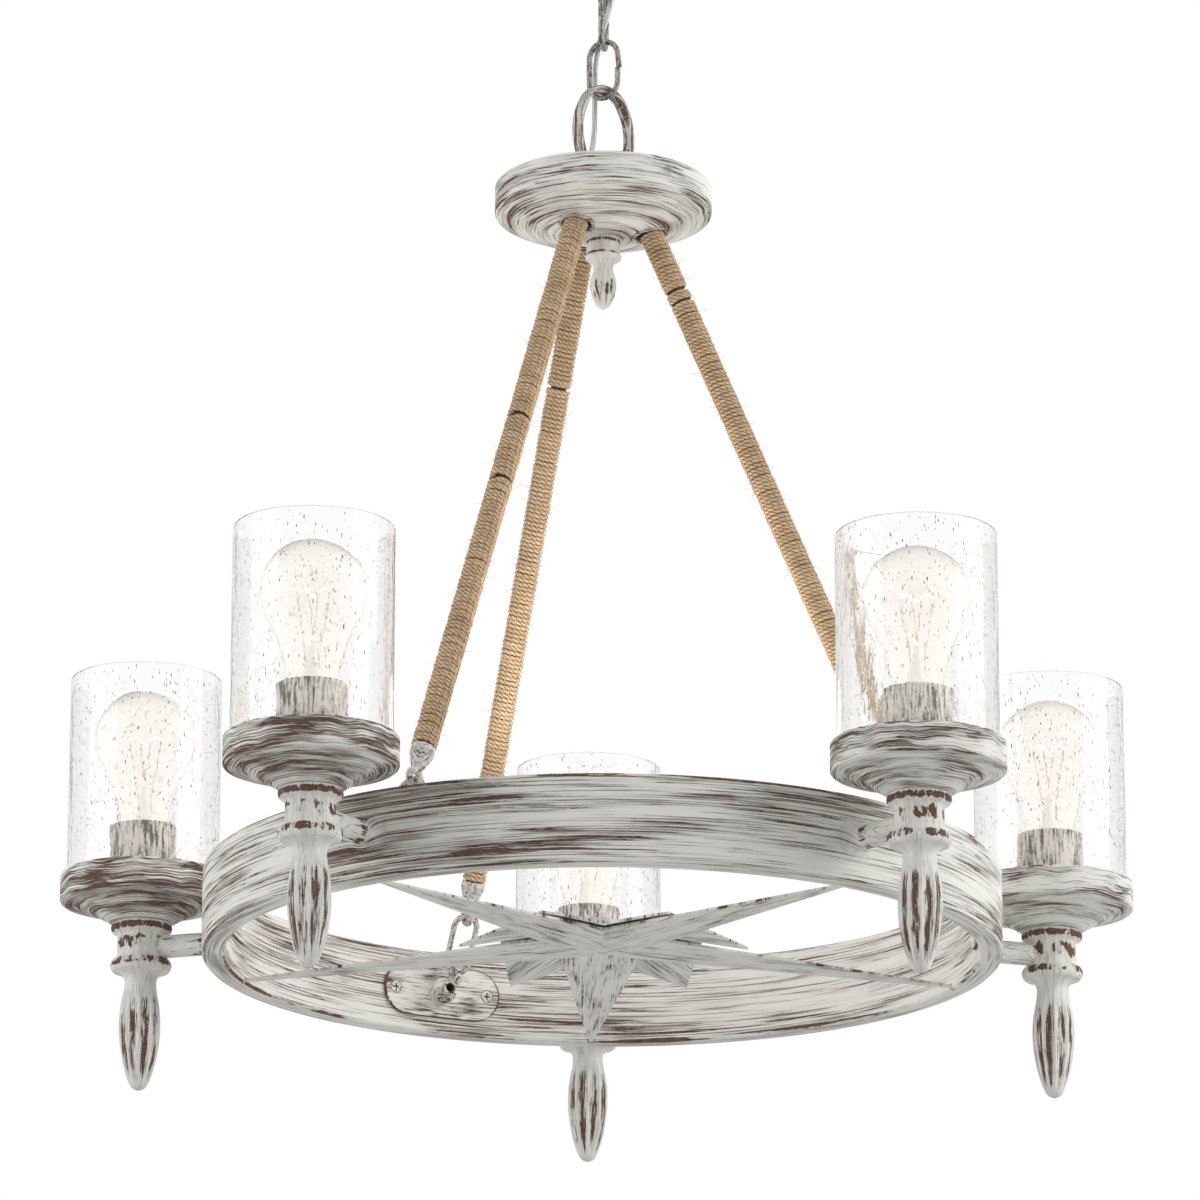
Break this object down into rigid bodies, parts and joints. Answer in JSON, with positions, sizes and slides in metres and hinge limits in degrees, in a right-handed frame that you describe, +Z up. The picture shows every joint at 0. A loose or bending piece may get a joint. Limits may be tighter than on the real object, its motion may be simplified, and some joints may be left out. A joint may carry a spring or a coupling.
{
  "type": "chandelier",
  "caption": "Chandelier: a turned wooden ring with a folded star inside, hung by rope-wound rods from a domed hub on a short chain, with clear bulbs in glass cylinders round the ring.",
  "frame": {"origin": "centre of the crossbar's top face, on the ceiling", "axes": "+Z up to the ceiling, +X to the right in the picture, +Y away from the viewer"},
  "size_m": [0.6488, 0.622, 0.7686],
  "materials": {
    "painted_wood": "white paint worn through to brown along edges and turning lines",
    "painted_metal": "matt white over brown, rubbed on the ridges",
    "painted_sheet": "matt streaked white with brown edges",
    "plain_steel": "dull",
    "twine": "coarse jute twine, wound tight",
    "shade_glass": "clear, with seeds and bubbles",
    "bulb_glass": "clear, lit",
    "socket_plastic": "cream, matt",
    "bush_plastic": "satin",
    "cord": "clear jacket over silvery wire"
  },
  "bodies": {
    "ceiling_mount": {"crossbar": "plain_steel", "ceiling_canopy": "painted_metal", "canopy_collar": "painted_metal", "canopy_loop": "painted_metal"},
    "chain_upper": {"chain_link_3": "painted_metal"},
    "chain_middle": {"chain_link_2": "painted_metal", "supply_cord": "cord"},
    "chain_lower": {"chain_link_1": "painted_metal"},
    "hub": {"hub_plate": "painted_wood", "hub_loop": "painted_metal", "hub_finial": "painted_wood", "hub_eyes": "painted_metal", "cord_bush": "bush_plastic"},
    "ring_frame": {"ring": "painted_wood", "star_long": "painted_sheet", "star_short": "painted_sheet", "star_nut": "plain_steel", "bracket_screws": "plain_steel", "lamp_sockets": "socket_plastic", "shade_rings": "socket_plastic", "ring_bracket_1": "painted_metal", "ring_bracket_2": "painted_metal", "ring_bracket_3": "painted_metal", "bracket_link_1": "painted_metal", "bracket_link_2": "painted_metal", "bracket_link_3": "painted_metal", "lamp_stem_1": "painted_wood", "bobeche_1": "painted_wood", "socket_cover_1": "painted_metal", "shade_1": "shade_glass", "bulb_1": "bulb_glass", "lamp_stem_2": "painted_wood", "bobeche_2": "painted_wood", "socket_cover_2": "painted_metal", "shade_2": "shade_glass", "bulb_2": "bulb_glass", "lamp_stem_3": "painted_wood", "bobeche_3": "painted_wood", "socket_cover_3": "painted_metal", "shade_3": "shade_glass", "bulb_3": "bulb_glass", "lamp_stem_4": "painted_wood", "bobeche_4": "painted_wood", "socket_cover_4": "painted_metal", "shade_4": "shade_glass", "bulb_4": "bulb_glass", "lamp_stem_5": "painted_wood", "bobeche_5": "painted_wood", "socket_cover_5": "painted_metal", "shade_5": "shade_glass", "bulb_5": "bulb_glass"},
    "rod_1": {"rod_tube_1": "plain_steel", "rope_wrap_1": "twine", "rod_hook_1": "painted_metal"},
    "rod_2": {"rod_tube_2": "plain_steel", "rope_wrap_2": "twine", "rod_hook_2": "painted_metal"},
    "rod_3": {"rod_tube_3": "plain_steel", "rope_wrap_3": "twine", "rod_hook_3": "painted_metal"}
  },
  "joints": [
    {"name": "canopy_loop_swing", "type": "hinge", "parent": "ceiling_mount", "child": "chain_upper", "pos_m": [0, 0, -0.0685], "axis": [0.1908, 0.9816, 0], "range_deg": [-20, 20], "deforming": ["supply_cord"]},
    {"name": "upper_link_swing", "type": "hinge", "parent": "chain_upper", "child": "chain_middle", "pos_m": [0, 0, -0.10045], "axis": [0.9816, -0.1908, 0], "range_deg": [-20, 20], "deforming": ["supply_cord"]},
    {"name": "middle_link_swing", "type": "hinge", "parent": "chain_middle", "child": "chain_lower", "pos_m": [0, 0, -0.13315], "axis": [0.1908, 0.9816, 0], "range_deg": [-20, 20], "deforming": ["supply_cord"]},
    {"name": "hub_loop_swing", "type": "hinge", "parent": "chain_lower", "child": "hub", "pos_m": [0, 0, -0.16585], "axis": [0.866, -0.5, 0], "range_deg": [-20, 20], "deforming": ["supply_cord"]},
    {"name": "ring_twist", "type": "hinge", "parent": "hub", "child": "ring_frame", "pos_m": [0, 0, -0.6813], "axis": [0, 0, 1], "range_deg": [-8, 8], "stiffness_Nm_per_rad": 0.5},
    {"name": "rod_1_turn", "type": "hinge", "parent": "hub", "child": "rod_1", "pos_m": [-0.01121, 0.02519, -0.25102], "axis": [0, 0, 1], "range_deg": [-9.5, 9.5]},
    {"name": "rod_2_turn", "type": "hinge", "parent": "hub", "child": "rod_2", "pos_m": [-0.0162, -0.0223, -0.25102], "axis": [0, 0, 1], "range_deg": [-9.5, 9.5]},
    {"name": "rod_3_turn", "type": "hinge", "parent": "hub", "child": "rod_3", "pos_m": [0.02742, -0.00288, -0.25102], "axis": [0, 0, 1], "range_deg": [-9.5, 9.5]}
  ],
  "couplings": [
    {"joint": "rod_1_turn", "follows": "ring_twist", "ratio": 1.1691},
    {"joint": "rod_2_turn", "follows": "ring_twist", "ratio": 1.1691},
    {"joint": "rod_3_turn", "follows": "ring_twist", "ratio": 1.1691}
  ]
}
